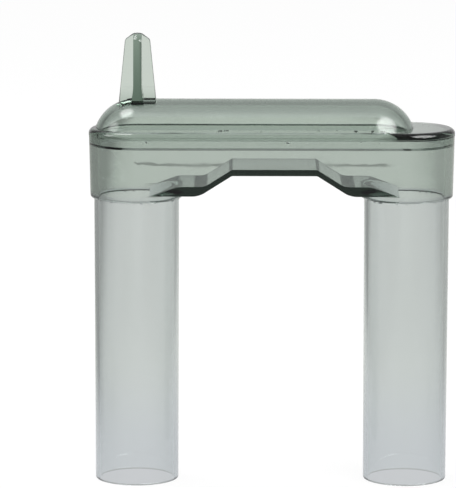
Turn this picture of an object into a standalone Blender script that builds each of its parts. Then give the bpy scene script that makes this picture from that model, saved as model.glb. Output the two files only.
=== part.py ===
"""Twin-leg bridge tube of clear smoke plastic, modelled piece by piece.

Two open legs are cemented into the collars of a long hollow body.  A lid with a
half-round dome closes the body, and a finned peg stands on the dome above the
left leg.  Units are metres, +Z is up, the legs stand on z = 0, and X runs along
the bridge with the peg on the -X side.
"""
import math

import bmesh
import bpy
from mathutils import Vector

MM = 0.001

# Legs
LEG_DIAMETER = 32.0 * MM
LEG_TAPER = 0.6 * MM
LEG_WALL = 1.6 * MM
LEG_LENGTH = 109.6 * MM
LEG_PITCH = 101.6 * MM

# Body
SOCKET_DEPTH = 2.0 * MM
SOCKET_WALL = 1.25 * MM
BODY_HEIGHT = 23.6 * MM
BODY_FLARE = 0.5 * MM
COLLAR_EDGE_RADIUS = 1.2 * MM
CHAMBER_WALL = 2.9 * MM
FOOT_RISE = 2.8 * MM
FOOT_THICKNESS = 3.4 * MM
ARCH_RISE = 7.8 * MM
ARCH_THICKNESS = 2.1 * MM
ARCH_TOP_LENGTH = 31.8 * MM
ARCH_FOOT_LENGTH = 56.4 * MM
ARCH_FOOT_RADIUS = 3.0 * MM
ARCH_OFFSET = 0.9 * MM
FLOOR_FOOT_RADIUS = 3.0 * MM
RAMP_TOP_REACH = 14.7 * MM
RAMP_TIP_REACH = 4.0 * MM
RAMP_TIP_THICKNESS = 0.4 * MM
CEMENT_WELL = 1.0 * MM

# Lid and dome
LID_THICKNESS = 2.6 * MM
LID_OVERHANG = 0.1 * MM
LID_EDGE_RADIUS = 2.0 * MM
TONGUE_DEPTH = 4.0 * MM
TONGUE_WALL = 1.1 * MM
DOME_RADIUS = 15.8 * MM
DOME_HEIGHT = 10.75 * MM
DOME_WALL = 2.3 * MM
DOME_LENGTH = 89.6 * MM
DOME_OVERRUN = 0.5 * MM

# Finned peg
PEG_HEIGHT = 24.85 * MM
PEG_OFFSET = 0.4 * MM
PEG_BASE_WIDTH = 13.9 * MM
PEG_TIP_WIDTH = 9.4 * MM
PEG_TIP_FLAT = 3.0 * MM
PEG_TIP_DROP = 2.35 * MM
FIN_THICKNESS = 3.1 * MM
FIN_FLARE = 0.65 * MM
FIN_FLARE_HEIGHT = 6.0 * MM
FIN_SINK = 0.5 * MM
SHANK_DIAMETER = 14.7 * MM

# Cement beads
LEG_BEAD = 0.5 * MM

# Clearances between neighbours
SEAT_GAP = 0.3 * MM
SOCKET_CLEARANCE = 0.15 * MM
TONGUE_CLEARANCE = 0.25 * MM
SHANK_CLEARANCE = 0.2 * MM
BEAD_GAP = 0.12 * MM

# Fineness of round shapes
CIRCLE_STEPS = 48
EDGE_STEPS = 4
DOME_STEPS = 10

# How far cutters and joined shapes reach past the faces that they cross
REACH = 1.0 * MM
COLLAR_CUT_MARGIN = 0.06 * MM

# Places that follow from the sizes above
HALF_PITCH = LEG_PITCH / 2
LEG_RADIUS = LEG_DIAMETER / 2
SHOULDER_Z = LEG_LENGTH + SEAT_GAP
COLLAR_Z = SHOULDER_Z - SOCKET_DEPTH
RIM_Z = COLLAR_Z + BODY_HEIGHT
SOCKET_RADIUS = LEG_RADIUS + SOCKET_CLEARANCE
COLLAR_RADIUS = SOCKET_RADIUS + SOCKET_WALL
RIM_RADIUS = COLLAR_RADIUS + BODY_FLARE
RIM_BORE_RADIUS = RIM_RADIUS - CHAMBER_WALL
FOOT_Z = COLLAR_Z + FOOT_RISE
FOOT_FLOOR_Z = FOOT_Z + FOOT_THICKNESS
ARCH_Z = FOOT_Z + ARCH_RISE
ARCH_FLOOR_Z = ARCH_Z + ARCH_THICKNESS
LID_BOTTOM_Z = RIM_Z + SEAT_GAP
LID_TOP_Z = LID_BOTTOM_Z + LID_THICKNESS
LID_RADIUS = RIM_RADIUS + LID_OVERHANG
TONGUE_RADIUS = RIM_BORE_RADIUS - TONGUE_CLEARANCE
TONGUE_Z = LID_BOTTOM_Z - TONGUE_DEPTH
DOME_TOP_Z = LID_TOP_Z + DOME_HEIGHT
DOME_AXIS_Z = DOME_TOP_Z - DOME_RADIUS
DOME_START_X = -HALF_PITCH - DOME_OVERRUN
DOME_END_X = DOME_START_X + DOME_LENGTH
PEG_X = PEG_OFFSET - HALF_PITCH
PEG_TOP_Z = DOME_TOP_Z + PEG_HEIGHT
SHANK_RADIUS = SHANK_DIAMETER / 2
ARCH_DRAFT = (ARCH_FOOT_LENGTH - ARCH_TOP_LENGTH) / 2 / ARCH_RISE

SMOKE = (0.50, 0.57, 0.52)
SMOKE_LEG = (0.60, 0.64, 0.62)
CEMENT = (0.72, 0.76, 0.74)


def clear_scene():
    """Take every object out of the scene."""
    for old in list(bpy.data.objects):
        bpy.data.objects.remove(old, do_unlink=True)


def plastic(name, colour, roughness):
    """Make a clear moulded plastic of one tint."""
    material = bpy.data.materials.new(name)
    material.use_nodes = True
    shader = material.node_tree.nodes["Principled BSDF"]
    shader.inputs["Base Color"].default_value = (*colour, 1.0)
    shader.inputs["Roughness"].default_value = roughness
    shader.inputs["Metallic"].default_value = 0.0
    shader.inputs["IOR"].default_value = 1.49
    shader.inputs["Transmission Weight"].default_value = 0.9
    return material


def finish_object(name, bm, material=None):
    """Turn a bmesh into a linked object with its faces pointing out."""
    bmesh.ops.recalc_face_normals(bm, faces=bm.faces)
    mesh = bpy.data.meshes.new(name)
    bm.to_mesh(mesh)
    bm.free()
    mesh.shade_smooth()
    mesh.set_sharp_from_angle(angle=math.radians(30))
    piece = bpy.data.objects.new(name, mesh)
    bpy.context.scene.collection.objects.link(piece)
    if material is not None:
        mesh.materials.append(material)
    return piece


def circle(radius, z):
    """Points of a level circle round the Z axis."""
    turns = [2 * math.pi * i / CIRCLE_STEPS for i in range(CIRCLE_STEPS)]
    return [Vector((radius * math.cos(a), radius * math.sin(a), z)) for a in turns]


def stadium(radius, z):
    """Points of a level long-round outline whose ends are centred on the two legs."""
    half = CIRCLE_STEPS // 2
    points = []
    for side, start in ((1, -math.pi / 2), (-1, math.pi / 2)):
        for i in range(half + 1):
            angle = start + math.pi * i / half
            x = side * HALF_PITCH + radius * math.cos(angle)
            points.append(Vector((x, radius * math.sin(angle), z)))
    return points


def body_radius(z):
    """Outer radius of the body's ends at a height, which grows from collar to rim."""
    return COLLAR_RADIUS + BODY_FLARE * (z - COLLAR_Z) / BODY_HEIGHT


def loft(name, rings, hollow=False, material=None):
    """Skin a row of matching rings: capped at both ends, or closed round like a tube."""
    bm = bmesh.new()
    loops = [[bm.verts.new(point) for point in ring] for ring in rings]
    pairs = list(zip(loops, loops[1:]))
    if hollow:
        pairs.append((loops[-1], loops[0]))
    else:
        bm.faces.new(loops[0])
        bm.faces.new(loops[-1])
    for low, high in pairs:
        count = len(low)
        for i in range(count):
            j = (i + 1) % count
            bm.faces.new((low[i], low[j], high[j], high[i]))
    return finish_object(name, bm, material)


def prism(name, outline, direction, material=None):
    """Extrude a flat outline along a direction."""
    bm = bmesh.new()
    face = bm.faces.new([bm.verts.new(point) for point in outline])
    grown = bmesh.ops.extrude_face_region(bm, geom=[face])
    moved = [item for item in grown["geom"] if isinstance(item, bmesh.types.BMVert)]
    bmesh.ops.translate(bm, verts=moved, vec=direction)
    return finish_object(name, bm, material)


def capsule(name, radius, floor_z=None):
    """A round-ended bar along the dome's axis, cut level at floor_z where that is given."""
    bm = bmesh.new()
    quarter = [math.pi / 2 * i / DOME_STEPS for i in range(DOME_STEPS + 1)]
    profile = [(DOME_START_X - radius * math.cos(a), radius * math.sin(a)) for a in quarter]
    profile += [(DOME_END_X + radius * math.cos(a), radius * math.sin(a)) for a in reversed(quarter)]
    chain = [bm.verts.new((x, 0, DOME_AXIS_Z + r)) for x, r in profile]
    edges = [bm.edges.new(pair) for pair in zip(chain, chain[1:])]
    bmesh.ops.spin(bm, geom=chain + edges, cent=(0, 0, DOME_AXIS_Z), axis=(1, 0, 0),
                   angle=2 * math.pi, steps=CIRCLE_STEPS, use_merge=True)
    bmesh.ops.remove_doubles(bm, verts=bm.verts, dist=0.01 * MM)
    if floor_z is not None:
        everything = bm.verts[:] + bm.edges[:] + bm.faces[:]
        cut = bmesh.ops.bisect_plane(bm, geom=everything, clear_inner=True,
                                     plane_co=(0, 0, floor_z), plane_no=(0, 0, 1))
        rim = [item for item in cut["geom_cut"] if isinstance(item, bmesh.types.BMEdge)]
        bmesh.ops.contextual_create(bm, geom=rim)
    return finish_object(name, bm)


def combine(target, operand, operation):
    """Join, cut or keep the overlap of two shapes, and hide the second one."""
    step = target.modifiers.new(f"{operation.lower()} {operand.name}", 'BOOLEAN')
    step.operation = operation
    step.solver = 'EXACT'
    step.object = operand
    operand.hide_render = True
    operand.display_type = 'WIRE'


def arch_outline(top_z, foot_z, foot_radius, bottom_z, ramp=()):
    """Front outline of the hump between the legs, with a round run-out at each foot.

    The ramp's points, measured from the middle of the arch, carry each foot further out.
    """
    slope = math.atan2(1, ARCH_DRAFT)
    half_top = ARCH_TOP_LENGTH / 2
    half_foot = half_top + (top_z - foot_z) * ARCH_DRAFT
    run = foot_radius * math.tan(slope / 2)
    right = [(half_top, top_z)]
    for i in range(EDGE_STEPS + 1):
        angle = slope * (1 - i / EDGE_STEPS)
        right.append((half_foot + run - foot_radius * math.sin(angle),
                      foot_z + foot_radius * (1 - math.cos(angle))))
    right.extend(ramp)
    right.append((right[-1][0], bottom_z))
    left = [(-x, z) for x, z in reversed(right)]
    return [(ARCH_OFFSET + x, z) for x, z in right + left]


def across(outline, half_width):
    """Stand a front outline at the near side of the body, ready to be extruded through it."""
    return [Vector((x, -half_width, z)) for x, z in outline]


def make_body(material):
    """The hollow body with its two collars, its arched floor and its open rim."""
    edge = COLLAR_EDGE_RADIUS
    rings = []
    for i in range(EDGE_STEPS + 1):
        angle = math.pi / 2 * i / EDGE_STEPS
        z = COLLAR_Z + edge * (1 - math.cos(angle))
        rings.append(stadium(body_radius(z) - edge * (1 - math.sin(angle)), z))
    rings.append(stadium(RIM_RADIUS, RIM_Z))
    body = loft("bridge_body", rings, material=material)

    half_depth = RIM_RADIUS + REACH
    through = Vector((0, 2 * half_depth, 0))

    # Space between the collars, under the feet of the arch
    arc_radius = body_radius(FOOT_Z) + COLLAR_CUT_MARGIN
    reach_angle = math.asin(body_radius(FOOT_Z) / arc_radius)
    bay = []
    for side, start in ((1, math.pi - reach_angle), (-1, -reach_angle)):
        corner = side * (HALF_PITCH - arc_radius * math.cos(reach_angle))
        bay.append(Vector((corner, side * half_depth, COLLAR_Z - REACH)))
        for i in range(CIRCLE_STEPS // 2 + 1):
            angle = start + 2 * reach_angle * i / (CIRCLE_STEPS // 2)
            bay.append(Vector((side * HALF_PITCH + arc_radius * math.cos(angle),
                               arc_radius * math.sin(angle), COLLAR_Z - REACH)))
        bay.append(Vector((corner, -side * half_depth, COLLAR_Z - REACH)))
    combine(body, prism("collar_bay", bay, Vector((0, 0, FOOT_RISE + REACH))), 'DIFFERENCE')

    under = arch_outline(ARCH_Z, FOOT_Z, ARCH_FOOT_RADIUS, COLLAR_Z - REACH)
    combine(body, prism("arch_underside", across(under, half_depth), through), 'DIFFERENCE')

    # Chamber, with a sloping well for cement round the inside of the rim; the floor left in it
    # humps over the arch and ramps down to a thin tip over the bore of each leg
    low_z = COLLAR_Z + SOCKET_DEPTH / 2
    well_z = RIM_Z - CEMENT_WELL
    rings = [stadium(body_radius(z) - CHAMBER_WALL, z) for z in (low_z, well_z)]
    rings.append(stadium(RIM_BORE_RADIUS + CEMENT_WELL + REACH, RIM_Z + REACH))
    chamber = loft("chamber", rings)
    ramp = ((HALF_PITCH - RAMP_TOP_REACH, FOOT_FLOOR_Z),
            (HALF_PITCH - RAMP_TIP_REACH, SHOULDER_Z + RAMP_TIP_THICKNESS))
    over = arch_outline(ARCH_FLOOR_Z, FOOT_FLOOR_Z, FLOOR_FOOT_RADIUS, low_z - REACH, ramp)
    floor = prism("floor", across(over, half_depth), through)
    combine(chamber, floor, 'DIFFERENCE')
    combine(body, chamber, 'DIFFERENCE')

    for side, word in ((-1, "left"), (1, "right")):
        socket = loft(f"{word}_socket", [circle(SOCKET_RADIUS, COLLAR_Z - REACH),
                                         circle(SOCKET_RADIUS, SHOULDER_Z)])
        socket.location.x = side * HALF_PITCH
        combine(body, socket, 'DIFFERENCE')
    return body


def make_lid(material):
    """The lid plate with its tongue and its hollow dome, drilled for the peg."""
    edge = LID_EDGE_RADIUS
    rings = [stadium(LID_RADIUS, LID_BOTTOM_Z)]
    for i in range(EDGE_STEPS + 1):
        angle = math.pi / 2 * i / EDGE_STEPS
        z = LID_TOP_Z - edge * (1 - math.sin(angle))
        rings.append(stadium(LID_RADIUS - edge * (1 - math.cos(angle)), z))
    lid = loft("bridge_lid", rings, material=material)
    half = LID_THICKNESS / 2
    combine(lid, capsule("dome_outside", DOME_RADIUS, LID_BOTTOM_Z + half), 'UNION')
    combine(lid, capsule("dome_inside", DOME_RADIUS - DOME_WALL, LID_BOTTOM_Z - half), 'DIFFERENCE')

    inner = TONGUE_RADIUS - TONGUE_WALL
    root_z = LID_BOTTOM_Z + LID_THICKNESS / 4
    tongue = loft("tongue", [stadium(TONGUE_RADIUS, TONGUE_Z), stadium(TONGUE_RADIUS, root_z),
                             stadium(inner, root_z), stadium(inner, TONGUE_Z)], hollow=True)
    combine(lid, tongue, 'UNION')

    hole_radius = SHANK_RADIUS + SHANK_CLEARANCE
    hole = loft("peg_hole", [circle(hole_radius, DOME_AXIS_Z),
                             circle(hole_radius, DOME_TOP_Z + REACH)])
    hole.location.x = PEG_X
    combine(lid, hole, 'DIFFERENCE')
    return lid


def plus_ring(reach, half, z):
    """Corners of a level plus sign of crossed bars, in order round the peg's axis."""
    corner = [(reach, -half), (reach, half), (half, half)]
    turns = ((1, 0), (0, 1), (-1, 0), (0, -1))
    return [Vector((PEG_X + c * x - s * y, s * x + c * y, z)) for c, s in turns for x, y in corner]


def make_peg(material):
    """Two crossed tapering fins on a round shank that fills the dome's hole."""
    foot_z = DOME_AXIS_Z + DOME_RADIUS / 2
    tip_z = PEG_TOP_Z - PEG_TIP_DROP
    growth = (PEG_BASE_WIDTH - PEG_TIP_WIDTH) / 2 / (tip_z - DOME_TOP_Z)
    foot_radius = PEG_BASE_WIDTH / 2 + growth * (DOME_TOP_Z - foot_z)
    peg = loft("finned_peg", [circle(foot_radius, foot_z), circle(PEG_TIP_WIDTH / 2, tip_z),
                              circle(PEG_TIP_FLAT / 2, PEG_TOP_Z)], material=material)
    peg.location.x = PEG_X

    # Crossed bars that thicken in a curve towards the dome
    reach = foot_radius + REACH
    half = FIN_THICKNESS / 2
    rings = [plus_ring(reach, half + FIN_FLARE, foot_z - REACH)]
    for i in range(EDGE_STEPS + 1):
        share = i / EDGE_STEPS
        rings.append(plus_ring(reach, half + FIN_FLARE * (1 - share) ** 2,
                               DOME_TOP_Z + FIN_FLARE_HEIGHT * share))
    rings.append(plus_ring(reach, half, PEG_TOP_Z + REACH))
    combine(peg, loft("crossed_fins", rings), 'INTERSECT')
    combine(peg, capsule("fin_foot", DOME_RADIUS - FIN_SINK), 'DIFFERENCE')

    # Round shank, flush with the dome's wall outside and inside
    shank = loft("shank", [circle(SHANK_RADIUS, DOME_AXIS_Z),
                           circle(SHANK_RADIUS, DOME_TOP_Z + 2 * REACH)])
    shank.location.x = PEG_X
    combine(shank, capsule("shank_top", DOME_RADIUS), 'INTERSECT')
    combine(shank, capsule("shank_bottom", DOME_RADIUS - DOME_WALL), 'DIFFERENCE')
    combine(peg, shank, 'UNION')
    return peg


def make_leg(word, side, material):
    """One open leg that narrows slightly towards its free end."""
    top = LEG_RADIUS
    end = LEG_RADIUS - LEG_TAPER / 2
    rings = [circle(end, 0), circle(top, LEG_LENGTH),
             circle(top - LEG_WALL, LEG_LENGTH), circle(end - LEG_WALL, 0)]
    leg = loft(f"{word}_leg", rings, hollow=True, material=material)
    leg.location.x = side * HALF_PITCH
    return leg


def make_leg_bead(word, side, material):
    """Fillet of cement round a leg, just under the mouth of its collar."""
    top_z = COLLAR_Z - BEAD_GAP
    inner = LEG_RADIUS + BEAD_GAP
    rings = [circle(inner, top_z - LEG_BEAD), circle(inner + LEG_BEAD, top_z), circle(inner, top_z)]
    bead = loft(f"{word}_leg_cement_bead", rings, hollow=True, material=material)
    bead.location.x = side * HALF_PITCH
    return bead


def make_lid_bead(material):
    """Cement that fills the well between the rim, the tongue and the lid plate."""
    inner = TONGUE_RADIUS + BEAD_GAP
    top_z = LID_BOTTOM_Z - BEAD_GAP
    offset = BEAD_GAP * math.sqrt(2)
    well_z = RIM_Z - CEMENT_WELL
    outer = RIM_BORE_RADIUS + (top_z - well_z) - offset
    foot_z = well_z + (inner - RIM_BORE_RADIUS) + offset
    rings = [stadium(inner, foot_z), stadium(outer, top_z), stadium(inner, top_z)]
    return loft("lid_cement_bead", rings, hollow=True, material=material)


def main():
    """Build every piece and hang it on one empty."""
    clear_scene()
    frame = bpy.data.objects.new("twin_leg_bridge", None)
    bpy.context.scene.collection.objects.link(frame)
    cement = plastic("cured cement", CEMENT, 0.35)
    leg_plastic = plastic("leg tube", SMOKE_LEG, 0.12)
    pieces = [make_body(plastic("bridge body", SMOKE, 0.12)),
              make_lid(plastic("bridge lid", SMOKE, 0.1)),
              make_peg(plastic("peg", SMOKE, 0.1)), make_lid_bead(cement)]
    for word, side in (("left", -1), ("right", 1)):
        pieces.append(make_leg(word, side, leg_plastic))
        pieces.append(make_leg_bead(word, side, cement))
    for piece in pieces:
        piece.parent = frame


main()
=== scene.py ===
"""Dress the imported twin-leg bridge tube in clear smoke plastic and stand it in a white studio."""
import logging
import math
from collections.abc import Callable, Sequence
from dataclasses import dataclass
from enum import Enum

import bmesh
import bpy
from bmesh.types import BMEdge, BMesh, BMFace, BMVert
from mathutils import Matrix, Vector, noise


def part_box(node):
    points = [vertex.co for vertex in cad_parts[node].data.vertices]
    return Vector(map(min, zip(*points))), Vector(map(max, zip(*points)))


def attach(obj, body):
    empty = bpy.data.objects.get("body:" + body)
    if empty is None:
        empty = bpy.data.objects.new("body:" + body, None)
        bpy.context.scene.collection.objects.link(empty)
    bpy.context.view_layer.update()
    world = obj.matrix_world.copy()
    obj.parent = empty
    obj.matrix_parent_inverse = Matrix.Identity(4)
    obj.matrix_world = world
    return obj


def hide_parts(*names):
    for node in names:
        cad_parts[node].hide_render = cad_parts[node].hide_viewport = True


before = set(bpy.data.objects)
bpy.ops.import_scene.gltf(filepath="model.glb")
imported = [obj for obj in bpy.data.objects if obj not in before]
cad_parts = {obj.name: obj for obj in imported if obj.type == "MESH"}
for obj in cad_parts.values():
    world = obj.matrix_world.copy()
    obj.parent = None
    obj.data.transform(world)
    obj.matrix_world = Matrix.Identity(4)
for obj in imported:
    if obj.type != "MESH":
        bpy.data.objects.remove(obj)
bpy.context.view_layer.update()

MM = 0.001

# Walls that more than one piece needs
LEG_WALL = 1.6 * MM
BODY_WALL = 2.9 * MM
CEMENT_WELL = 1.0 * MM

# Facets in a full turn and across a rounded edge
ROUND_STEPS = 192
EDGE_STEPS = 6

# Corners nearer than this are one corner
WELD = 0.002 * MM
# Edges that turn more than this are sharp
SHARP_ANGLE = math.radians(18)
# How far a cutting shape reaches past what it cuts
REACH = 1.0 * MM
# Faces nearer than this to a surface lie on it
CONTACT = 0.03 * MM
# The upright part of a face's normal over which the face counts as level
LEVEL = 0.7

# Attribute that holds how much of a face is wetted by cement
BOND = "bond"
# Where most values of a noise lie
NOISE_RANGE = (0.35, 0.65)
WHITE = (1.0, 1.0, 1.0, 1.0)

Point = tuple[float, float]
Triple = tuple[float, float, float]
EdgeTest = Callable[[BMEdge], bool]
FaceTest = Callable[[BMFace], bool]
log = logging.getLogger("bridge_tube")


class Side(Enum):
    """The two legs, by the sign of their X."""

    LEFT = -1
    RIGHT = 1

    @property
    def word(self) -> str:
        """The side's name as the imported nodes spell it."""
        return self.name.lower()


class Join(Enum):
    """How two closed shapes are put together."""

    ADD = 'UNION'
    CUT = 'DIFFERENCE'
    KEEP = 'INTERSECT'


class Slot(Enum):
    """Material slots of the record."""

    BRIDGE = "bridge_plastic"
    LEG = "leg_plastic"
    CEMENT = "cement"


def edges_of(geometry: Sequence) -> list[BMEdge]:
    """Pick the edges out of a mixed list of mesh elements."""
    return [item for item in geometry if isinstance(item, BMEdge)]


def verts_of(geometry: Sequence) -> list[BMVert]:
    """Pick the corners out of a mixed list of mesh elements."""
    return [item for item in geometry if isinstance(item, BMVert)]


def tidy(bm: BMesh) -> BMesh:
    """Merge doubled corners and turn every face outwards.

    Args:
        bm: A closed shape.

    Returns:
        The same shape.
    """
    bmesh.ops.remove_doubles(bm, verts=bm.verts, dist=WELD)
    bmesh.ops.recalc_face_normals(bm, faces=bm.faces)
    return bm


def round_off(bm: BMesh, width: float, test: EdgeTest, steps: int = EDGE_STEPS) -> None:
    """Round the sharp edges that pass a test.

    Args:
        bm: The shape, changed in place.
        width: How far the rounding reaches from the edge, in metres.
        test: Tells which of the sharp edges are rounded.
        steps: Facets across the rounding.
    """
    sharp = [e for e in bm.edges if e.calc_face_angle(0.0) > SHARP_ANGLE and test(e)]
    bmesh.ops.bevel(bm, geom=sharp, offset=width, offset_type='OFFSET', affect='EDGES',
                    segments=steps, profile=0.5, material=-1, clamp_overlap=True)
    tidy(bm)


def level_edge(z: float) -> EdgeTest:
    """Make a test for edges that lie level at a height.

    Args:
        z: The height in metres.

    Returns:
        A test for round_off.
    """
    return lambda edge: all(abs(v.co.z - z) < WELD for v in edge.verts)


def cross_edge(z: float, ends: Point) -> EdgeTest:
    """Make a test for edges that run straight across the bridge at a height.

    Args:
        z: The height in metres.
        ends: The edges lie between these two places on the X axis.

    Returns:
        A test for round_off.
    """
    def test(edge: BMEdge) -> bool:
        """Tell whether an edge runs along Y at the height.

        Args:
            edge: The edge to test.

        Returns:
            True for such an edge.
        """
        first, last = (v.co for v in edge.verts)
        between = ends[0] + WELD < first.x < ends[1] - WELD
        return between and abs(first.x - last.x) < WELD and level_edge(z)(edge)
    return test


def pillar(x: float, low: Point, high: Point) -> BMesh:
    """A round pillar on an upright axis, which may taper.

    Args:
        x: Where the axis stands on the X axis.
        low: Radius and height of the lower end.
        high: Radius and height of the upper end.

    Returns:
        The closed shape.
    """
    bm = bmesh.new()
    middle = Matrix.Translation((x, 0, (low[1] + high[1]) / 2))
    bmesh.ops.create_cone(bm, cap_ends=True, segments=ROUND_STEPS, radius1=low[0], radius2=high[0],
                          depth=high[1] - low[1], matrix=middle)
    return tidy(bm)


def turned(x: float, profile: Sequence[Point], closed: bool = True) -> BMesh:
    """Turn a profile round an upright axis.

    Args:
        x: Where the axis stands on the X axis.
        profile: Radii and heights of the corners, in order.
        closed: True joins the last corner to the first; False is for a profile that ends on the axis.

    Returns:
        The closed shape.
    """
    bm = bmesh.new()
    chain = [bm.verts.new((x + r, 0, z)) for r, z in profile]
    edges = [bm.edges.new(pair) for pair in zip(chain, chain[1:])]
    if closed:
        edges.append(bm.edges.new((chain[-1], chain[0])))
    bmesh.ops.spin(bm, geom=chain + edges, cent=(x, 0, 0), axis=(0, 0, 1), angle=2 * math.pi,
                   steps=ROUND_STEPS, use_merge=True)
    return tidy(bm)


def long_round(ends: Point, profile: Sequence[Point], closed: bool = False, runs: int = 1) -> BMesh:
    """Sweep a profile round a long-round outline, half a turn at each end and straight between.

    Args:
        ends: X of the centres of the left and the right end.
        profile: Distances from the centre line and heights of the corners, in order.
        closed: True joins the last corner to the first; False caps the top and the bottom.
        runs: Lengths into which each straight stretch is divided.

    Returns:
        The closed shape.
    """
    left, right = ends
    bm = bmesh.new()
    chain = [bm.verts.new((right, -r, z)) for r, z in profile]
    edges = [bm.edges.new(pair) for pair in zip(chain, chain[1:])]
    if closed:
        edges.append(bm.edges.new((chain[-1], chain[0])))
    section = chain + edges
    for centre, other in ((right, left), (left, right)):
        swept = bmesh.ops.spin(bm, geom=section, cent=(centre, 0, 0), axis=(0, 0, 1), angle=math.pi,
                               steps=ROUND_STEPS // 2)
        section = swept["geom_last"]
        for _ in range(runs):
            grown = bmesh.ops.extrude_edge_only(bm, edges=edges_of(section))["geom"]
            moved = set(verts_of(grown))
            bmesh.ops.translate(bm, verts=list(moved), vec=((other - centre) / runs, 0, 0))
            section = list(moved) + [e for e in edges_of(grown) if moved.issuperset(e.verts)]
    bmesh.ops.remove_doubles(bm, verts=bm.verts, dist=WELD)
    bmesh.ops.holes_fill(bm, edges=[e for e in bm.edges if e.is_boundary], sides=0)
    return tidy(bm)


def prism(outline: Sequence[Point], half_width: float) -> BMesh:
    """Extrude a front outline through the bridge along Y.

    Args:
        outline: X and Z of the corners, in order.
        half_width: How far it reaches on each side of the centre line.

    Returns:
        The closed shape.
    """
    bm = bmesh.new()
    face = bm.faces.new([bm.verts.new((x, -half_width, z)) for x, z in outline])
    grown = bmesh.ops.extrude_face_region(bm, geom=[face])["geom"]
    bmesh.ops.translate(bm, verts=verts_of(grown), vec=(0, 2 * half_width, 0))
    return tidy(bm)


def round_bar(ends: Point, axis_z: float, radius: float) -> BMesh:
    """A bar along X with ball ends.

    Args:
        ends: X of the centres of the left and the right ball.
        axis_z: Height of the bar's axis.
        radius: Radius of the bar and of its ends.

    Returns:
        The closed shape.
    """
    bm = bmesh.new()
    quarter = [math.pi / 2 * i / (ROUND_STEPS // 4) for i in range(ROUND_STEPS // 4 + 1)]
    profile = [(ends[0] - radius * math.cos(a), radius * math.sin(a)) for a in quarter]
    profile += [(ends[1] + radius * math.cos(a), radius * math.sin(a)) for a in reversed(quarter)]
    chain = [bm.verts.new((x, 0, axis_z + r)) for x, r in profile]
    edges = [bm.edges.new(pair) for pair in zip(chain, chain[1:])]
    bmesh.ops.spin(bm, geom=chain + edges, cent=(0, 0, axis_z), axis=(1, 0, 0), angle=2 * math.pi,
                   steps=ROUND_STEPS, use_merge=True)
    return tidy(bm)


def cut_below(bm: BMesh, z: float) -> BMesh:
    """Cut a shape level and keep what is above.

    Args:
        bm: A closed shape, changed in place.
        z: Height of the cut.

    Returns:
        The same shape, closed at the cut.
    """
    everything = bm.verts[:] + bm.edges[:] + bm.faces[:]
    cut = bmesh.ops.bisect_plane(bm, geom=everything, clear_inner=True, plane_co=(0, 0, z),
                                 plane_no=(0, 0, 1))
    bmesh.ops.contextual_create(bm, geom=edges_of(cut["geom_cut"]))
    return tidy(bm)


def loose_object(name: str, bm: BMesh) -> bpy.types.Object:
    """Turn a bmesh into a linked object and free the bmesh.

    Args:
        name: The object's name.
        bm: The shape, used up.

    Returns:
        The new object.
    """
    mesh = bpy.data.meshes.new(name)
    bm.to_mesh(mesh)
    bm.free()
    holder = bpy.data.objects.new(name, mesh)
    bpy.context.scene.collection.objects.link(holder)
    return holder


def combine(base: BMesh, tool: BMesh, how: Join) -> BMesh:
    """Put two closed shapes together.

    Args:
        base: The shape that is worked on, used up.
        tool: The shape that is added, cut away or overlapped, used up.
        how: Which of these it is.

    Returns:
        The resulting closed shape.
    """
    holders = [loose_object("base", base), loose_object("tool", tool)]
    step = holders[0].modifiers.new("join", 'BOOLEAN')
    step.operation = how.value
    step.solver = 'EXACT'
    step.object = holders[1]
    result = bmesh.new()
    result.from_object(holders[0], bpy.context.evaluated_depsgraph_get())
    for holder in holders:
        mesh = holder.data
        bpy.data.objects.remove(holder)
        bpy.data.meshes.remove(mesh)
    return tidy(result)


def bond_faces(bm: BMesh, test: FaceTest, share: float = 1.0) -> None:
    """Mark faces that cement joins to the next piece, so light goes straight through them.

    Args:
        bm: The shape, changed in place.
        test: Tells which faces are marked.
        share: How much of the faces the cement wets, from 0 to 1.
    """
    layer = bm.faces.layers.float.get(BOND) or bm.faces.layers.float.new(BOND)
    for face in bm.faces:
        if test(face):
            face[layer] = share


def make_piece(name: str, bm: BMesh, material: bpy.types.Material, node: str) -> bpy.types.Object:
    """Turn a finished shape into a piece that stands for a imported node.

    Args:
        name: The piece's name.
        bm: The shape, used up.
        material: Its finish.
        node: The node that it stands for.

    Returns:
        The new piece.
    """
    piece = loose_object(name, bm)
    piece.data.shade_smooth()
    piece.data.set_sharp_from_angle(angle=SHARP_ANGLE)
    piece.data.materials.append(material)
    even = piece.modifiers.new("even normals", 'WEIGHTED_NORMAL')
    even.keep_sharp = True
    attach(piece, "root")
    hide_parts(node)
    log.info("%s stands for %s: %d faces", name, node, len(piece.data.polygons))
    return piece


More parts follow.
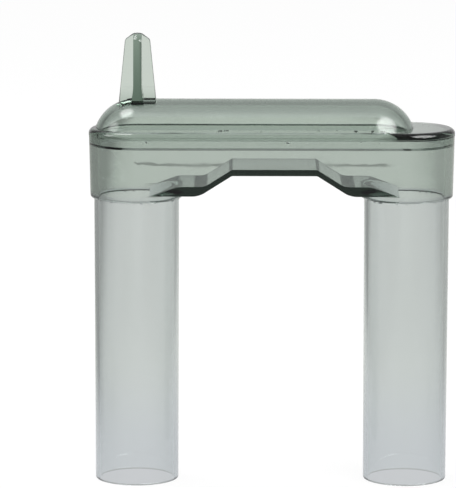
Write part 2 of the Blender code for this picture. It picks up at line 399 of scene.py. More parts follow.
class NodeSheet:
    """Small helper that lays out the nodes of one material or world."""

    def __init__(self, tree: bpy.types.NodeTree) -> None:
        """Start on an empty tree."""
        self.tree = tree
        tree.nodes.clear()

    def add(self, kind: str, **inputs: object) -> bpy.types.Node:
        """Add a node and set or link its inputs.

        Args:
            kind: The node's type name without the ShaderNode prefix.
            **inputs: Values or sockets by input name, with _ for a space, or by place as i0, i1.

        Returns:
            The new node.
        """
        node = self.tree.nodes.new("ShaderNode" + kind)
        for key, value in inputs.items():
            by_place = key[0] == "i" and key[1:].isdigit()
            socket = node.inputs[int(key[1:]) if by_place else key.replace("_", " ")]
            if isinstance(value, bpy.types.NodeSocket):
                self.tree.links.new(value, socket)
            else:
                socket.default_value = value
        return node

    def maths(self, operation: str, first: object, second: object = 0.0) -> bpy.types.NodeSocket:
        """Add a sum on one or two numbers.

        Args:
            operation: Which sum it is.
            first: The first number or socket.
            second: The second number or socket.

        Returns:
            The result's socket.
        """
        node = self.add("Math", i0=first, i1=second)
        node.operation = operation
        return node.outputs[0]

    def spread(self, value: object, source: Point, target: Point) -> bpy.types.NodeSocket:
        """Map one range of numbers on another, easing in and out at the ends.

        Args:
            value: The number or socket to map.
            source: Ends of the range it comes in.
            target: Ends of the range it goes to.

        Returns:
            The mapped number's socket.
        """
        node = self.add("MapRange", i0=value, i1=source[0], i2=source[1], i3=target[0], i4=target[1])
        node.interpolation_type = 'SMOOTHSTEP'
        return node.outputs[0]

    def reach(self, vector: bpy.types.NodeSocket, toward: Triple) -> bpy.types.NodeSocket:
        """Measure how far a direction points toward another.

        Args:
            vector: The direction.
            toward: The other direction, of any length.

        Returns:
            The cosine of the angle between them.
        """
        node = self.add("VectorMath", i0=vector, i1=Vector(toward).normalized())
        node.operation = 'DOT_PRODUCT'
        return node.outputs["Value"]

    def link(self, socket: bpy.types.NodeSocket, target: bpy.types.NodeSocket) -> None:
        """Join two sockets."""
        self.tree.links.new(socket, target)


@dataclass(frozen=True)
class ClearPlastic:
    """Polished see-through plastic that darkens with thickness.

    Lengths are in metres, and absorption is per metre for red, green and blue.
    """

    name: str
    absorption: Triple
    refraction: float = 1.49
    haze: Point = (0.0, 0.03)
    haze_size: float = 6 * MM
    ripple_size: float = 9 * MM
    ripple_height: float = 0.02 * MM
    ripple_stretch: Triple = (1.0, 1.0, 1.0)
    tint_low: Triple = (0.96, 0.97, 0.96)
    tint_size: float = 14 * MM
    bond_size: float = 1.6 * MM
    clarity: float = 1.0
    ripple_detail: float = 2.0
    haze_detail: float = 4.0
    tint_detail: float = 3.0
    bond_detail: float = 1.0

    def build(self) -> bpy.types.Material:
        """Make the material.

        Returns:
            The new material, with absorption in its volume.
        """
        material = bpy.data.materials.new(self.name)
        material.use_nodes = True
        sheet = NodeSheet(material.node_tree)
        place = sheet.add("TexCoord").outputs["Object"]
        output = sheet.add("OutputMaterial")

        stretched = sheet.add("Mapping", Vector=place, Scale=self.ripple_stretch).outputs[0]
        ripple = sheet.add("TexNoise", Vector=stretched, Scale=1 / self.ripple_size,
                           Detail=self.ripple_detail)
        bump = sheet.add("Bump", Height=ripple.outputs[0], Distance=self.ripple_height, Strength=1.0)
        smear = sheet.add("TexNoise", Vector=place, Scale=1 / self.haze_size, Detail=self.haze_detail)
        cloud = sheet.add("TexNoise", Vector=stretched, Scale=1 / self.tint_size,
                          Detail=self.tint_detail)
        tint = sheet.add("MixRGB", Fac=cloud.outputs[0], Color1=(*self.tint_low, 1.0), Color2=WHITE)

        wetted = sheet.add("Attribute")
        wetted.attribute_name = BOND
        patches = sheet.add("TexNoise", Vector=place, Scale=1 / self.bond_size, Detail=self.bond_detail)
        joined = sheet.maths('LESS_THAN', patches.outputs[0], wetted.outputs["Fac"])

        shader = sheet.add("BsdfPrincipled", Base_Color=tint.outputs[0], Normal=bump.outputs[0],
                           Roughness=sheet.spread(smear.outputs[0], NOISE_RANGE, self.haze),
                           Alpha=sheet.maths('SUBTRACT', 1.0, joined))
        shader.inputs["IOR"].default_value = self.refraction
        shader.inputs["Transmission Weight"].default_value = self.clarity
        density = max(self.absorption)
        inside = sheet.add("VolumeAbsorption")
        inside.inputs["Density"].default_value = density
        inside.inputs["Color"].default_value = (*(1 - a / density for a in self.absorption), 1.0)
        sheet.link(shader.outputs[0], output.inputs["Surface"])
        sheet.link(inside.outputs[0], output.inputs["Volume"])
        return material


@dataclass(frozen=True)
class BridgeSizes:
    """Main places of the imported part, read from its nodes, in metres."""

    half_pitch: float
    leg_radius: float
    leg_top_z: float
    collar_z: float
    rim_z: float
    rim_radius: float
    lid_radius: float
    tongue_z: float
    dome_top_z: float
    peg_x: float
    peg_top_z: float

    @classmethod
    def from_frame(cls) -> "BridgeSizes":
        """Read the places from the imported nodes.

        Returns:
            The sizes.
        """
        leg_low, leg_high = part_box("right_leg")
        body_low, body_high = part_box("bridge_body")
        lid_low, lid_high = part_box("bridge_lid")
        peg_low, peg_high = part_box("finned_peg")
        return cls(
            half_pitch=(leg_low.x + leg_high.x) / 2, leg_radius=(leg_high.x - leg_low.x) / 2,
            leg_top_z=leg_high.z, collar_z=body_low.z, rim_z=body_high.z,
            rim_radius=(body_high.y - body_low.y) / 2, lid_radius=(lid_high.y - lid_low.y) / 2,
            tongue_z=lid_low.z, dome_top_z=lid_high.z, peg_x=(peg_low.x + peg_high.x) / 2,
            peg_top_z=peg_high.z)

    @property
    def ends(self) -> Point:
        """X of the two leg axes."""
        return -self.half_pitch, self.half_pitch

    def axis_x(self, side: Side) -> float:
        """X of one leg's axis."""
        return side.value * self.half_pitch

    def off_spine(self, place: Vector) -> float:
        """Level distance from the line that joins the two leg axes."""
        return math.hypot(max(abs(place.x) - self.half_pitch, 0.0), place.y)

    def off_leg(self, place: Vector) -> float:
        """Level distance from the nearer leg axis."""
        return math.hypot(abs(place.x) - self.half_pitch, place.y)


@dataclass
class Leg:
    """One open tube leg, slightly narrower at its free end."""

    sizes: BridgeSizes
    side: Side
    wall: float = LEG_WALL
    taper: float = 0.3 * MM
    end_round: float = 0.75 * MM
    seat: float = 0.26 * MM

    def build(self, material: bpy.types.Material) -> bpy.types.Object:
        """Make the tube with its free end rounded.

        Args:
            material: The leg's plastic.

        Returns:
            The new piece.
        """
        top, end = self.sizes.leg_radius, self.sizes.leg_radius - self.taper
        height, collar_z = self.sizes.leg_top_z + self.seat, self.sizes.collar_z
        mouth = end + self.taper * collar_z / height
        bm = turned(self.sizes.axis_x(self.side), [(end, 0), (mouth, collar_z), (top, height),
                                                   (top - self.wall, height), (end - self.wall, 0)])
        round_off(bm, self.end_round, level_edge(0))
        bond_faces(bm, self.in_socket)
        name = f"{self.side.word}_leg"
        return make_piece(f"{name}_tube", bm, material, name)

    def in_socket(self, face: BMFace) -> bool:
        """Tell whether a face is on the outside or the top, where the collar holds the leg.

        Args:
            face: The face to test.

        Returns:
            True for such a face.
        """
        middle = face.calc_center_median()
        outside = self.sizes.off_leg(middle) > self.sizes.leg_radius - self.wall / 2
        return middle.z > self.sizes.collar_z and (outside or face.normal.z > LEVEL)


@dataclass
class Body:
    """The hollow body: two collars, an arched floor with ramped ends, and an open rim."""

    sizes: BridgeSizes
    flare: float = 0.5 * MM
    edge: float = 1.2 * MM
    wall: float = BODY_WALL
    leg_wall: float = LEG_WALL
    socket_depth: float = 2.0 * MM
    socket_gap: float = 0.12 * MM
    foot_rise: float = 2.8 * MM
    foot_thickness: float = 3.4 * MM
    foot_corner: float = 2.4 * MM
    arch_rise: float = 7.8 * MM
    arch_thickness: float = 2.1 * MM
    arch_top_length: float = 31.8 * MM
    arch_foot_length: float = 56.4 * MM
    arch_offset: float = 0.9 * MM
    arch_corner: float = 0.4 * MM
    floor_corner: float = 1.4 * MM
    ramp_top_reach: float = 14.7 * MM
    ramp_tip_reach: float = 4.0 * MM
    ramp_tip_thickness: float = 0.4 * MM
    well: float = CEMENT_WELL

    @property
    def foot_z(self) -> float:
        """Height of the underside of the arch's feet."""
        return self.sizes.collar_z + self.foot_rise

    @property
    def floor_z(self) -> float:
        """Height of the floor over the arch's feet."""
        return self.foot_z + self.foot_thickness

    @property
    def arch_z(self) -> float:
        """Height of the flat under the arch."""
        return self.foot_z + self.arch_rise

    @property
    def shoulder_z(self) -> float:
        """Height of the top of the sockets."""
        return self.sizes.collar_z + self.socket_depth

    @property
    def socket_radius(self) -> float:
        """Radius of the sockets that hold the legs."""
        return self.sizes.leg_radius + self.socket_gap

    def radius(self, z: float) -> float:
        """Outer radius of the ends at a height."""
        rise = (z - self.sizes.collar_z) / (self.sizes.rim_z - self.sizes.collar_z)
        return self.sizes.rim_radius - self.flare * (1 - rise)

    def hump(self, foot: Sequence[Point], top_z: float, low_z: float, corner: float) -> BMesh:
        """The arch's form as a bar across the bridge, with feet that reach out to the legs.

        Args:
            foot: Where the right foot runs: X from the arch's middle, and height, of its corners.
            top_z: Height of its flat top.
            low_z: Height of its underside.
            corner: How far the rounding of the inner corners of its feet reaches.

        Returns:
            The closed shape.
        """
        half_top, half_foot = self.arch_top_length / 2, self.arch_foot_length / 2
        draft = (half_foot - half_top) / self.arch_rise
        foot_z, end = foot[0][1], foot[-1][0]
        right = [(half_top, top_z), (half_top + (top_z - foot_z) * draft, foot_z), *foot, (end, low_z)]
        outline = right + [(-x, z) for x, z in reversed(right)]
        bm = prism([(self.arch_offset + x, z) for x, z in outline], self.sizes.lid_radius + REACH)
        inside = (self.arch_offset - end, self.arch_offset + end)
        round_off(bm, self.arch_corner, cross_edge(top_z, inside))
        round_off(bm, corner, cross_edge(foot_z, inside))
        return bm

    def underside(self) -> BMesh:
        """The space under the arch and between the collars.

        Returns:
            The closed shape.
        """
        collar_z = self.sizes.collar_z
        level_foot = [(self.sizes.half_pitch, self.foot_z)]
        space = self.hump(level_foot, self.arch_z, collar_z - REACH, self.foot_corner)
        for x in self.sizes.ends:
            low, high = ((self.radius(z), z) for z in (collar_z, self.arch_z))
            collar = pillar(x, low, high)
            round_off(collar, self.edge, level_edge(collar_z))
            space = combine(space, collar, Join.CUT)
        return space

    def chamber(self) -> BMesh:
        """The space inside, over the humped floor with its ramps and up to the cement's well.

        Returns:
            The closed shape.
        """
        low_z = self.sizes.collar_z + self.socket_depth / 2
        well_z = self.sizes.rim_z - self.well
        profile = [(self.sizes.leg_radius - self.leg_wall, low_z)]
        profile += [(self.radius(z) - self.wall, z) for z in (self.floor_z, self.sizes.tongue_z, well_z)]
        profile.append((self.sizes.rim_radius - self.wall + self.well + REACH,
                        self.sizes.rim_z + REACH))
        space = long_round(self.sizes.ends, profile)
        ramp = [(self.sizes.half_pitch - self.ramp_top_reach, self.floor_z),
                (self.sizes.half_pitch - self.ramp_tip_reach, self.shoulder_z + self.ramp_tip_thickness)]
        floor = self.hump(ramp, self.arch_z + self.arch_thickness, low_z - REACH, self.floor_corner)
        return combine(space, floor, Join.CUT)

    def build(self, material: bpy.types.Material) -> bpy.types.Object:
        """Make the body from its solid form, its spaces and its sockets.

        Args:
            material: The body's plastic.

        Returns:
            The new piece.
        """
        collar_z, rim_z = self.sizes.collar_z, self.sizes.rim_z
        bm = long_round(self.sizes.ends, [(self.radius(z), z) for z in (collar_z, rim_z)])
        round_off(bm, self.edge, level_edge(collar_z))
        bm = combine(bm, self.underside(), Join.CUT)
        bm = combine(bm, self.chamber(), Join.CUT)
        for x in self.sizes.ends:
            socket = pillar(x, (self.socket_radius, collar_z - REACH),
                            (self.socket_radius, self.shoulder_z))
            bm = combine(bm, socket, Join.CUT)
        for test in (self.on_socket, self.on_mouth, self.on_rim, self.on_tongue):
            bond_faces(bm, test)
        return make_piece("bridge_body_shell", bm, material, "bridge_body")

    def on_socket(self, face: BMFace) -> bool:
        """Tell whether a face is on the wall or the shoulder of a socket.

        Args:
            face: The face to test.

        Returns:
            True for such a face.
        """
        middle = face.calc_center_median()
        within = self.sizes.off_leg(middle) < self.socket_radius + CONTACT
        return within and middle.z < self.shoulder_z + CONTACT and face.normal.z < LEVEL

    def on_mouth(self, face: BMFace) -> bool:
        """True for the ring round the mouth of a collar, where the bead of cement has run."""
        return face.normal.z < -LEVEL and face.calc_center_median().z < self.sizes.collar_z + CONTACT

    def on_rim(self, face: BMFace) -> bool:
        """True for the rim's top and the slope of the cement's well."""
        return face.normal.z > LEVEL / 2 and face.calc_center_median().z > self.sizes.rim_z - self.well

    def on_tongue(self, face: BMFace) -> bool:
        """Tell whether a face is on the chamber's wall, where the lid's tongue lies against it.

        Args:
            face: The face to test.

        Returns:
            True for such a face.
        """
        middle = face.calc_center_median()
        inside = self.sizes.off_spine(middle) < self.radius(middle.z) - self.wall / 2
        return inside and self.sizes.tongue_z < middle.z < self.sizes.rim_z - self.well


@dataclass
class Lid:
    """The lid: plate, tongue and half-round dome with the peg's hole."""

    sizes: BridgeSizes
    thickness: float = 2.6 * MM
    edge: float = 2.0 * MM
    seat_gap: float = 0.06 * MM
    tongue_gap: float = 0.25 * MM
    tongue_wall: float = 1.1 * MM
    tongue_depth: float = 4.0 * MM
    tongue_bevel: float = 0.8 * MM
    body_wall: float = BODY_WALL
    dome_radius: float = 15.8 * MM
    dome_wall: float = 2.3 * MM
    dome_length: float = 89.6 * MM
    dome_overrun: float = 0.5 * MM
    hole_radius: float = 7.38 * MM

    @property
    def bottom_z(self) -> float:
        """Height of the plate's underside, which lies on the rim."""
        return self.sizes.rim_z + self.seat_gap

    @property
    def top_z(self) -> float:
        """Height of the plate's top."""
        return self.sizes.tongue_z + self.tongue_depth + self.thickness

    @property
    def middle_z(self) -> float:
        """Height halfway up the plate, where the dome and the tongue are joined to it."""
        return (self.bottom_z + self.top_z) / 2

    @property
    def dome_axis_z(self) -> float:
        """Height of the dome's axis."""
        return self.sizes.dome_top_z - self.dome_radius

    @property
    def dome_ends(self) -> Point:
        """X of the centres of the dome's two ball ends."""
        start = -self.sizes.half_pitch - self.dome_overrun
        return start, start + self.dome_length

    @property
    def tongue_radius(self) -> float:
        """Outer radius of the tongue's ends."""
        return self.sizes.rim_radius - self.body_wall - self.tongue_gap

    def shell(self, inset: float) -> BMesh:
        """The dome's round bar, set in from the outside by a depth."""
        return round_bar(self.dome_ends, self.dome_axis_z, self.dome_radius - inset)

    def tongue(self) -> BMesh:
        """The wall under the plate that drops into the body, bevelled along its inner lower edge.

        Returns:
            The closed shape.
        """
        low_z, high_z = self.sizes.tongue_z, self.middle_z
        inner = self.tongue_radius - self.tongue_wall
        bm = long_round(self.sizes.ends, [(self.tongue_radius, low_z), (self.tongue_radius, high_z),
                                          (inner, high_z), (inner, low_z)], closed=True)
        round_off(bm, self.tongue_bevel, lambda edge: level_edge(low_z)(edge) and all(
            self.sizes.off_spine(v.co) < inner + CONTACT for v in edge.verts), steps=1)
        return bm

    def build(self, material: bpy.types.Material) -> bpy.types.Object:
        """Make the lid.

        Args:
            material: The lid's plastic.

        Returns:
            The new piece.
        """
        sizes = self.sizes
        bm = long_round(sizes.ends, [(sizes.lid_radius, self.bottom_z), (sizes.lid_radius, self.top_z)])
        round_off(bm, self.edge, level_edge(self.top_z))
        bm = combine(bm, cut_below(self.shell(0), self.middle_z), Join.ADD)
        bm = combine(bm, cut_below(self.shell(self.dome_wall), self.bottom_z - REACH), Join.CUT)
        bm = combine(bm, self.tongue(), Join.ADD)
        hole = pillar(sizes.peg_x, (self.hole_radius, self.dome_axis_z),
                      (self.hole_radius, sizes.dome_top_z + REACH))
        bm = combine(bm, hole, Join.CUT)
        for test in (self.on_hole, self.on_seat, self.on_tongue):
            bond_faces(bm, test)
        return make_piece("bridge_lid_shell", bm, material, "bridge_lid")

    def on_hole(self, face: BMFace) -> bool:
        """Tell whether a face is on the wall of the peg's hole.

        Args:
            face: The face to test.

        Returns:
            True for such a face.
        """
        middle = face.calc_center_median()
        away = math.hypot(middle.x - self.sizes.peg_x, middle.y)
        return abs(away - self.hole_radius) < CONTACT and abs(face.normal.z) < LEVEL

    def on_seat(self, face: BMFace) -> bool:
        """Tell whether a face is on the plate's underside, outside the tongue.

        Args:
            face: The face to test.

        Returns:
            True for such a face.
        """
        middle = face.calc_center_median()
        return (abs(middle.z - self.bottom_z) < CONTACT and face.normal.z < -LEVEL
                and self.sizes.off_spine(middle) > self.tongue_radius)

    def on_tongue(self, face: BMFace) -> bool:
        """Tell whether a face is on the outside of the tongue.

        Args:
            face: The face to test.

        Returns:
            True for such a face.
        """
        middle = face.calc_center_median()
        outside = abs(self.sizes.off_spine(middle) - self.tongue_radius) < CONTACT
        return outside and middle.z < self.bottom_z and abs(face.normal.z) < LEVEL


@dataclass
class Peg:
    """Two crossed tapering fins on a round shank that fills the dome's hole."""

    sizes: BridgeSizes
    lid: Lid
    base_width: float = 13.9 * MM
    tip_width: float = 9.4 * MM
    tip_flat: float = 3.0 * MM
    tip_drop: float = 2.35 * MM
    tip_round: float = 0.7 * MM
    fin_thickness: float = 3.1 * MM
    fin_flare: float = 0.65 * MM
    fin_flare_height: float = 6.0 * MM
    fin_flare_steps: int = 24
    fin_sink: float = 0.5 * MM
    shank_radius: float = 7.35 * MM

    def envelope(self, foot_z: float) -> BMesh:
        """The turned form that both fins fill.

        Args:
            foot_z: Height of its lower end.

        Returns:
            The closed shape, tapering to a bevelled tip.
        """
        top_z, dome_z = self.sizes.peg_top_z, self.sizes.dome_top_z
        tip_z = top_z - self.tip_drop
        growth = (self.base_width - self.tip_width) / 2 / (tip_z - dome_z)
        foot = self.base_width / 2 + growth * (dome_z - foot_z)
        profile = [(0, foot_z), (foot, foot_z), (self.tip_width / 2, tip_z),
                   (self.tip_flat / 2, top_z), (0, top_z)]
        bm = turned(self.sizes.peg_x, profile, closed=False)
        for z in (tip_z, top_z):
            round_off(bm, self.tip_round, level_edge(z))
        return bm

    def fin(self, low_z: float, turn: float) -> BMesh:
        """An upright bar that gives one fin its thickness, flaring towards the dome.

        Args:
            low_z: Height of its lower end.
            turn: How far it is turned round the peg's axis.

        Returns:
            The closed shape.
        """
        half, dome_z = self.fin_thickness / 2, self.sizes.dome_top_z
        right = [(half + self.fin_flare, low_z)]
        for i in range(self.fin_flare_steps + 1):
            share = i / self.fin_flare_steps
            right.append((half + self.fin_flare * (1 - share) ** 2,
                          dome_z + self.fin_flare_height * share))
        right.append((half, self.sizes.peg_top_z + REACH))
        bm = prism(right + [(-x, z) for x, z in reversed(right)], self.base_width)
        bmesh.ops.rotate(bm, verts=bm.verts, matrix=Matrix.Rotation(turn, 3, 'Z'))
        bmesh.ops.translate(bm, verts=bm.verts, vec=(self.sizes.peg_x, 0, 0))
        return bm

    def build(self, material: bpy.types.Material) -> bpy.types.Object:
        """Make the peg.

        Args:
            material: The peg's plastic.

        Returns:
            The new piece.
        """
        lid, x = self.lid, self.sizes.peg_x
        foot_z = lid.dome_axis_z + lid.dome_radius / 2
        cross = combine(self.fin(foot_z, 0.0), self.fin(foot_z, math.pi / 2), Join.ADD)
        bm = combine(self.envelope(foot_z - REACH), cross, Join.KEEP)
        bm = combine(bm, lid.shell(self.fin_sink), Join.CUT)
        shank = pillar(x, (self.shank_radius, lid.dome_axis_z),
                       (self.shank_radius, self.sizes.dome_top_z + REACH))
        shank = combine(combine(shank, lid.shell(0), Join.KEEP), lid.shell(lid.dome_wall), Join.CUT)
        bm = combine(bm, shank, Join.ADD)
        bond_faces(bm, self.on_shank)
        return make_piece("finned_peg_moulding", bm, material, "finned_peg")

    def on_shank(self, face: BMFace) -> bool:
        """Tell whether a face is on the shank's side, where the dome's wall holds it.

        Args:
            face: The face to test.

        Returns:
            True for such a face.
        """
        middle = face.calc_center_median()
        away = math.hypot(middle.x - self.sizes.peg_x, middle.y)
        bore = self.lid.dome_radius - self.lid.dome_wall
        in_wall = math.hypot(middle.y, middle.z - self.lid.dome_axis_z) > bore
        return in_wall and abs(away - self.shank_radius) < CONTACT and abs(face.normal.z) < LEVEL


@dataclass
class LegCement:
    """The bead of cement round a leg at the mouth of its collar."""

    sizes: BridgeSizes
    side: Side
    size: float = 0.5 * MM
    hollow: float = 0.4
    gap: float = 0.06 * MM
    unevenness: float = 0.08 * MM
    lump: float = 3.0 * MM
    cemented: float = 0.6

    def build(self, material: bpy.types.Material) -> bpy.types.Object:
        """Make the uneven ring, hollow in section like a fillet.

        Args:
            material: The cement.

        Returns:
            The new piece.
        """
        x = self.sizes.axis_x(self.side)
        inner, top = self.sizes.leg_radius + self.gap, self.sizes.collar_z - self.gap
        bm = turned(x, [(inner, top - self.size),
                        (inner + self.size * self.hollow, top - self.size * self.hollow),
                        (inner + self.size, top), (inner, top)])
        for vert in bm.verts:
            out = Vector((vert.co.x - x, vert.co.y, 0))
            if out.length > inner + self.gap:
                vert.co += out.normalized() * self.unevenness * noise.noise(vert.co / self.lump)
        name = f"{self.side.word}_leg_cement"
        bond_faces(tidy(bm), lambda face: True, self.cemented)
        return make_piece(name, bm, material, f"{name}_bead")


@dataclass
class LidCement:
    """The run of cement in the well under the lid plate."""

    sizes: BridgeSizes
    lid: Lid
    well: float = CEMENT_WELL
    gap: float = 0.06 * MM
    unevenness: float = 0.2 * MM
    lump: float = 2.5 * MM
    runs: int = 64
    cemented: float = 0.68

    def build(self, material: bpy.types.Material) -> bpy.types.Object:
        """Make the uneven run.

        Args:
            material: The cement.

        Returns:
            The new piece.
        """
        inner = self.lid.tongue_radius + self.gap
        bore = self.sizes.rim_radius - self.lid.body_wall
        top = self.lid.bottom_z - self.gap
        foot = self.sizes.rim_z - self.well + (inner - bore) + self.gap * 2
        outer = bore + (top - (self.sizes.rim_z - self.well)) - self.gap * 2
        slope = ((inner + outer) / 2, (foot + top) / 2)
        bm = long_round(self.sizes.ends, [(inner, foot), slope, (outer, top), (inner, top)],
                        closed=True, runs=self.runs)
        for vert in bm.verts:
            if vert.co.z < top - self.gap:
                vert.co.z += self.unevenness * max(noise.noise(vert.co / self.lump), 0.0)
        bond_faces(tidy(bm), lambda face: True, self.cemented)
        return make_piece("lid_cement", bm, material, "lid_cement_bead")


@dataclass(frozen=True)
class SoftBox:
    """One large soft lamp that lights the floor."""

    name: str
    toward: Triple
    distance: float
    size: float
    power: float

    def build(self, target: Vector) -> bpy.types.Object:
        """Hang the lamp.

        Args:
            target: The point that it is aimed at.

        Returns:
            The lamp's object.
        """
        lamp = bpy.data.lights.new(self.name, 'AREA')
        lamp.size = self.size
        lamp.energy = self.power
        holder = bpy.data.objects.new(self.name, lamp)
        bpy.context.scene.collection.objects.link(holder)
        holder.location = target + Vector(self.toward).normalized() * self.distance
        holder.rotation_euler = (target - holder.location).to_track_quat('-Z', 'Y').to_euler()
        holder.visible_camera = False
        holder.visible_glossy = False
        holder.visible_transmission = False
        return holder


@dataclass(frozen=True)
class Glow:
    """One soft window of light round the object, which the plastic mirrors."""

    toward: Triple
    core: float
    rim: float
    level: float

    def add_to(self, sheet: NodeSheet, look: bpy.types.NodeSocket) -> bpy.types.NodeSocket:
        """Lay out the window's brightness over the directions of the room.

        Args:
            sheet: The room's nodes.
            look: The direction that is looked in.

        Returns:
            The brightness in that direction.
        """
        edge = (math.cos(math.radians(self.rim)), math.cos(math.radians(self.core)))
        return sheet.spread(sheet.reach(look, self.toward), edge, (0.0, self.level))


@dataclass
class Studio:
    """Camera, lamps, white floor and surroundings."""

    sizes: BridgeSizes
    image_height: float = 488.0
    focal_pixels: float = 4200.0
    sensor: float = 36.0
    camera_place: Triple = (-16.4 * MM, -1563.0 * MM, 351.5 * MM)
    camera_pitch: float = math.radians(9.5)
    camera_roll: float = math.radians(0.12)
    floor_size: float = 8.0
    paper_left: Point = (-0.24, -0.08)
    paper_right: Point = (0.08, 0.26)
    room_left: Point = (-0.60, -0.40)
    room_right: Point = (0.40, 0.60)
    left_level: float = 0.50
    right_level: float = 0.70
    front: Point = (-0.4, -0.05)
    front_level: float = 0.50
    leg_shade: float = 0.80
    leg_shade_edge: float = 0.9
    near_far: Point = (0.02, 0.24)
    near_tint: Triple = (0.915, 0.92, 0.945)
    far_tint: Triple = (0.99, 1.0, 0.965)
    # Painted shade: a dark line across the floor behind the bridge, seen only through the plastic
    # (where, how wide, where it stops, how dark)
    crease_y: float = 0.812
    crease: Point = (0.003, 0.007)
    crease_ends: Point = (0.066, 0.080)
    crease_shade_level: float = 0.50
    horizon: Point = (-0.05, 0.05)
    haze_level: float = 0.74
    sky: Point = (0.20, 0.45)
    sky_level: float = 0.58
    shadow_share: float = 0.10
    ambient: float = 0.6
    paper_grey: float = 0.8
    aim_height: float = 100 * MM
    light_bounces: int = 32
    gloss_bounces: int = 12
    glows: tuple[Glow, ...] = (
        Glow(toward=(0.53, -0.48, 0.70), core=16.0, rim=31.0, level=8.5),
        Glow(toward=(-0.31, 0.08, 0.95), core=8.0, rim=17.0, level=6.0),
        Glow(toward=(-0.84, -0.21, 0.50), core=6.0, rim=19.0, level=4.0))
    boxes: tuple[SoftBox, ...] = (
        SoftBox("front_box", toward=(0.5, -0.6, 0.62), distance=1.6, size=1.2, power=16.0),
        SoftBox("overhead_box", toward=(-0.3, 0.1, 0.95), distance=1.5, size=1.0, power=16.0))

    def add_camera(self) -> bpy.types.Object:
        """Set up the camera at the photograph's viewing angle.

        Returns:
            The camera's object.
        """
        data = bpy.data.cameras.new("camera")
        data.sensor_fit = 'VERTICAL'
        data.sensor_height = self.sensor
        data.lens = self.focal_pixels / self.image_height * self.sensor
        camera = bpy.data.objects.new("camera", data)
        bpy.context.scene.collection.objects.link(camera)
        camera.matrix_world = (Matrix.Translation(self.camera_place)
                               @ Matrix.Rotation(math.pi / 2 - self.camera_pitch, 4, 'X')
                               @ Matrix.Rotation(self.camera_roll, 4, 'Z'))
        bpy.context.scene.camera = camera
        return camera

    def dimming(self, sheet: NodeSheet, place: bpy.types.Node, left: Point,
                right: Point) -> bpy.types.NodeSocket:
        """How bright the surroundings are across and in depth: dimmer at the sides and in front.

        Args:
            sheet: The nodes that it is laid out in.
            place: The place or direction, split into its parts.
            left: Where the left side grows dim.
            right: Where the right side grows dim.

        Returns:
            The brightness.
        """
        x, y = place.outputs[:2]
        levels = (sheet.spread(x, left, (self.left_level, 1.0)),
                  sheet.spread(x, right, (1.0, self.right_level)),
                  sheet.spread(y, self.front, (self.front_level, 1.0)))
        return sheet.maths('MULTIPLY', sheet.maths('MULTIPLY', levels[0], levels[1]), levels[2])

    def paper_level(self, sheet: NodeSheet, split: bpy.types.Node) -> bpy.types.NodeSocket:
        """How bright the floor looks through the plastic: painted shade inside the legs and along a
        painted dark crease line.

        Args:
            sheet: The floor's nodes.
            split: The place on the floor, split into its parts.

        Returns:
            The brightness.
        """
        off_middle, off_centre = (sheet.maths('ABSOLUTE', part) for part in split.outputs[:2])
        off_axis = sheet.maths('ABSOLUTE', sheet.maths('SUBTRACT', off_middle, self.sizes.half_pitch))
        squares = sheet.maths('ADD', sheet.maths('POWER', off_axis, 2.0),
                              sheet.maths('POWER', off_centre, 2.0))
        within = (self.sizes.leg_radius * self.leg_shade_edge, self.sizes.leg_radius)
        shade = sheet.spread(sheet.maths('SQRT', squares), within, (self.leg_shade, 1.0))
        # Painted shade: the floor is darkened along a straight line across it, seen only through the
        # plastic
        off_crease = sheet.maths('ABSOLUTE', sheet.maths('SUBTRACT', split.outputs[1], self.crease_y))
        crease_shade = sheet.maths('MAXIMUM', sheet.spread(off_crease, self.crease, (self.crease_shade_level, 1.0)),
                           sheet.spread(off_middle, self.crease_ends, (0.0, 1.0)))
        return sheet.maths('MULTIPLY', self.dimming(sheet, split, self.paper_left, self.paper_right),
                           sheet.maths('MULTIPLY', shade, crease_shade))

    def add_floor(self) -> bpy.types.Object:
        """Lay the floor: white to the camera, and a white strip between dimmer sides to the plastic.

        Returns:
            The floor's object.
        """
        bm = bmesh.new()
        bmesh.ops.create_grid(bm, x_segments=1, y_segments=1, size=self.floor_size / 2)
        floor = loose_object("floor", bm)
        material = bpy.data.materials.new("white paper")
        material.use_nodes = True
        sheet = NodeSheet(material.node_tree)
        output = sheet.add("OutputMaterial")
        path = sheet.add("LightPath").outputs
        split = sheet.add("SeparateXYZ", Vector=sheet.add("TexCoord").outputs["Object"])
        tint = sheet.add("MixRGB", Fac=sheet.spread(split.outputs[1], self.near_far, (0.0, 1.0)),
                         Color1=(*self.near_tint, 1.0), Color2=(*self.far_tint, 1.0)).outputs[0]

        grey = (self.paper_grey, self.paper_grey, self.paper_grey, 1.0)
        bounced = sheet.add("BsdfDiffuse", Color=grey).outputs[0]
        lit = sheet.add("BsdfDiffuse", Color=WHITE).outputs[0]
        white = sheet.add("Emission", Color=WHITE, Strength=1.0).outputs[0]
        shown = sheet.add("MixShader", i0=self.shadow_share, i1=white, i2=lit).outputs[0]
        seen = sheet.add("Emission", Color=tint, Strength=self.paper_level(sheet, split)).outputs[0]
        by_plastic = sheet.maths('MAXIMUM', path["Is Glossy Ray"], path["Is Transmission Ray"])
        others = sheet.add("MixShader", i0=by_plastic, i1=bounced, i2=seen).outputs[0]
        final = sheet.add("MixShader", i0=path["Is Camera Ray"], i1=others, i2=shown).outputs[0]
        sheet.link(final, output.inputs["Surface"])
        floor.data.materials.append(material)
        return floor

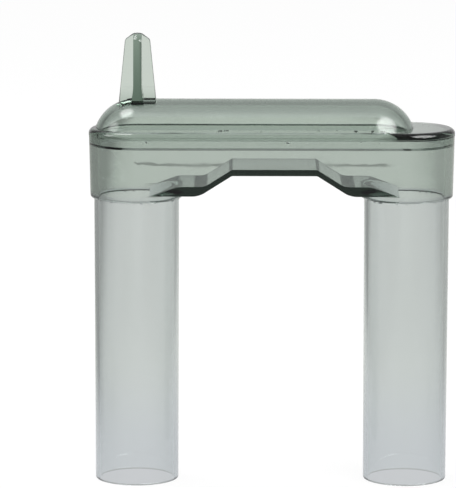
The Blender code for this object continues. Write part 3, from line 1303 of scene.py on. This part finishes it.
    def add_surroundings(self) -> None:
        """Make the room: white to the camera, and dim with a few soft windows to the plastic."""
        world = bpy.data.worlds.new("studio")
        world.use_nodes = True
        bpy.context.scene.world = world
        sheet = NodeSheet(world.node_tree)
        output = sheet.add("OutputWorld")
        path = sheet.add("LightPath").outputs
        direction = sheet.add("TexCoord").outputs["Generated"]
        split = sheet.add("SeparateXYZ", Vector=direction)
        low = sheet.spread(split.outputs[2], self.horizon, (1.0, self.haze_level))
        high = sheet.spread(split.outputs[2], self.sky, (1.0, self.sky_level / self.haze_level))
        level = sheet.maths('MULTIPLY', self.dimming(sheet, split, self.room_left, self.room_right),
                            sheet.maths('MULTIPLY', low, high))
        for glow in self.glows:
            level = sheet.maths('ADD', level, glow.add_to(sheet, direction))
        by_plastic = sheet.maths('MAXIMUM', path["Is Glossy Ray"], path["Is Transmission Ray"])
        strength = sheet.add("Mix", i0=by_plastic, i2=self.ambient, i3=level).outputs[0]
        strength = sheet.add("Mix", i0=path["Is Camera Ray"], i2=strength, i3=1.0).outputs[0]
        back = sheet.add("Background", Color=WHITE, Strength=strength)
        sheet.link(back.outputs[0], output.inputs["Surface"])

    def build(self) -> None:
        """Set up everything round the object."""
        scene = bpy.context.scene
        scene.view_settings.view_transform = 'Standard'
        scene.cycles.max_bounces = self.light_bounces
        scene.cycles.transmission_bounces = self.light_bounces
        scene.cycles.glossy_bounces = self.gloss_bounces
        scene.cycles.transparent_max_bounces = self.light_bounces
        self.add_camera()
        self.add_floor()
        self.add_surroundings()
        for box in self.boxes:
            box.build(Vector((0, 0, self.aim_height)))


SMOKE_BODY = ClearPlastic("clear smoke body", absorption=(129.0, 110.0, 121.0), ripple_height=0.01 * MM)
SMOKE_LID = ClearPlastic("clear smoke lid", absorption=(158.0, 131.0, 149.0))
SMOKE_TUBE = ClearPlastic("clear smoke tube", absorption=(148.0, 134.0, 131.0),
                          ripple_stretch=(1.0, 1.0, 0.04), ripple_size=2.0 * MM,
                          ripple_height=0.012 * MM)
CEMENT = ClearPlastic("cured cement", absorption=(60.0, 45.0, 55.0), refraction=1.47, haze=(0.05, 0.25),
                      haze_size=1.2 * MM, ripple_size=1.5 * MM, ripple_height=0.06 * MM)
BUBBLY_CEMENT = ClearPlastic("bubbly cement", absorption=(105.0, 82.0, 95.0), refraction=1.47,
                             haze=(0.2, 0.5), haze_size=1.2 * MM, ripple_size=1.5 * MM,
                             ripple_height=0.06 * MM, bond_size=2.4 * MM, clarity=0.3)


def main() -> None:
    """Build every piece of the bridge tube and the studio round it."""
    logging.basicConfig(level=logging.INFO, format="%(name)s: %(message)s")
    sizes = BridgeSizes.from_frame()
    moulding, tube, cement = SMOKE_LID.build(), SMOKE_TUBE.build(), CEMENT.build()
    lid = Lid(sizes)
    Body(sizes).build(SMOKE_BODY.build())
    lid.build(moulding)
    Peg(sizes, lid).build(moulding)
    LidCement(sizes, lid).build(BUBBLY_CEMENT.build())
    for side in Side:
        Leg(sizes, side).build(tube)
        LegCement(sizes, side).build(cement)
    Studio(sizes).build()


if __name__ == "__main__":
    main()
